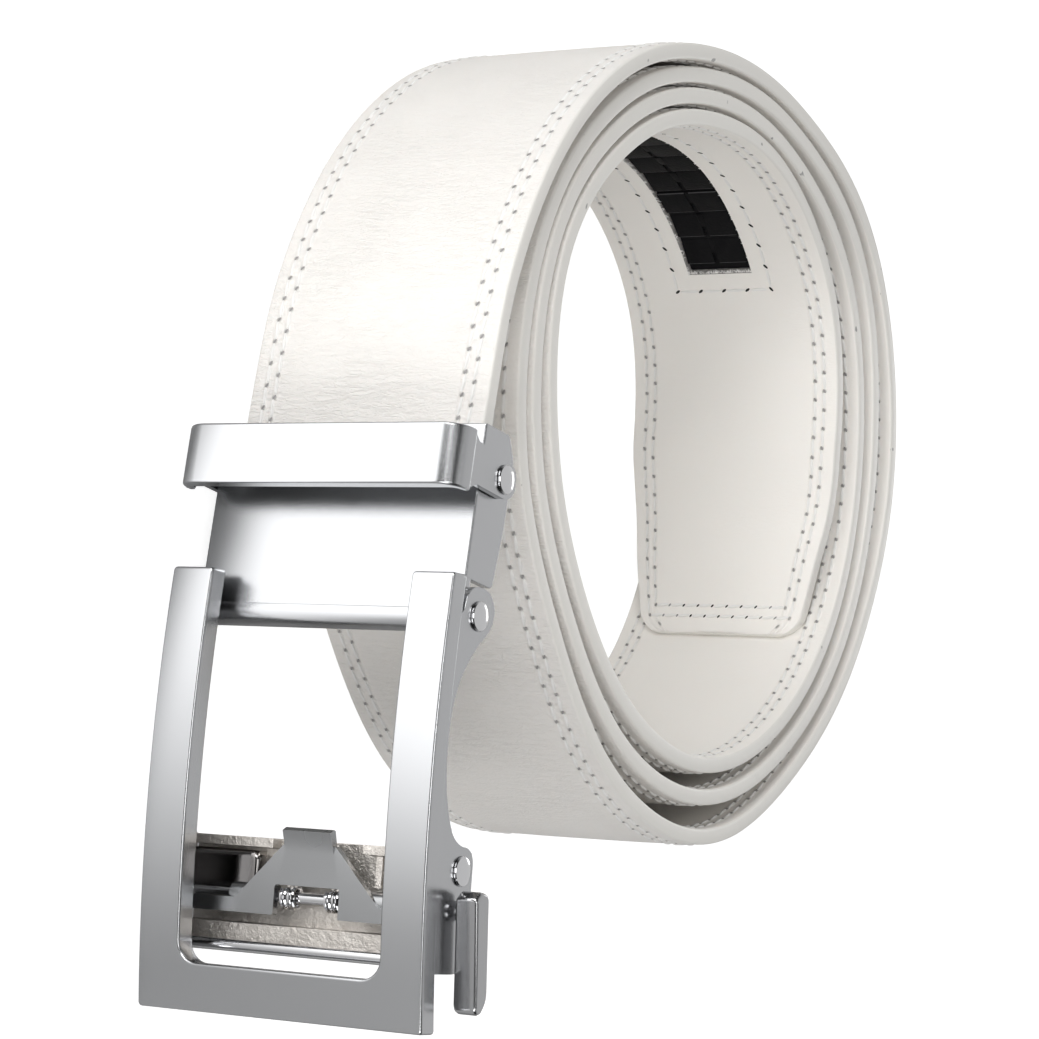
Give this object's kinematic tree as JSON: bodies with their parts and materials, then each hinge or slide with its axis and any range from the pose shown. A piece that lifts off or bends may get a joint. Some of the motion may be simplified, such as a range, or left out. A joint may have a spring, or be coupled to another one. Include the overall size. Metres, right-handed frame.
{
  "type": "coiled ratchet belt",
  "caption": "Coiled white leather strap with a toothed track in its tail, hinged clamp plate with a swinging keeper, and an open rectangular buckle with a sprung pawl.",
  "frame": {"origin": "centre of the bounding box's bottom face, on the surface that the belt lies on", "axes": "+Z along the strap's width, up from the surface; +Y from the buckle's foot towards its keeper; +X from the buckle to the far side of the coil"},
  "size_m": [0.1526, 0.127, 0.0454],
  "materials": {
    "leather": "fine-grained off-white leather with stitched edges",
    "track": "black moulded teeth",
    "satin": "satin nickel plate",
    "polished": "bright nickel plate",
    "cast": "rough die casting, nickel plated"
  },
  "bodies": {
    "strap_and_clamp": {"strap": "leather", "ratchet_track": "track", "clamp_plate": "satin", "clamp_jaw": "satin", "keeper_rivet_upper": "polished", "keeper_rivet_lower": "polished", "hinge_pin": "polished"},
    "keeper_body": {"keeper": "satin"},
    "frame_body": {"buckle_frame": "satin", "pawl_housing": "cast", "housing_rivet_upper": "polished", "housing_rivet_lower": "polished", "foot_rod": "polished"},
    "pawl_body": {"pawl": "satin", "pawl_pin": "polished", "spring_upper": "polished", "spring_lower": "polished", "release_lever": "polished"}
  },
  "joints": [
    {"name": "keeper_swing", "type": "hinge", "parent": "strap_and_clamp", "child": "keeper_body", "pos_m": [-0.05832, 0.00143, 0.021], "axis": [0, 0, -1], "range_deg": [0, 45]},
    {"name": "frame_swing", "type": "hinge", "parent": "strap_and_clamp", "child": "frame_body", "pos_m": [-0.0642, -0.01493, 0.021], "axis": [0, 0, 1], "range_deg": [-8, 30]},
    {"name": "pawl_release", "type": "hinge", "parent": "frame_body", "child": "pawl_body", "pos_m": [-0.06816, -0.04961, 0.021], "axis": [0, 0, -1], "range_deg": [0, 10], "stiffness_Nm_per_rad": 0.02, "springref_deg": -11.46}
  ]
}
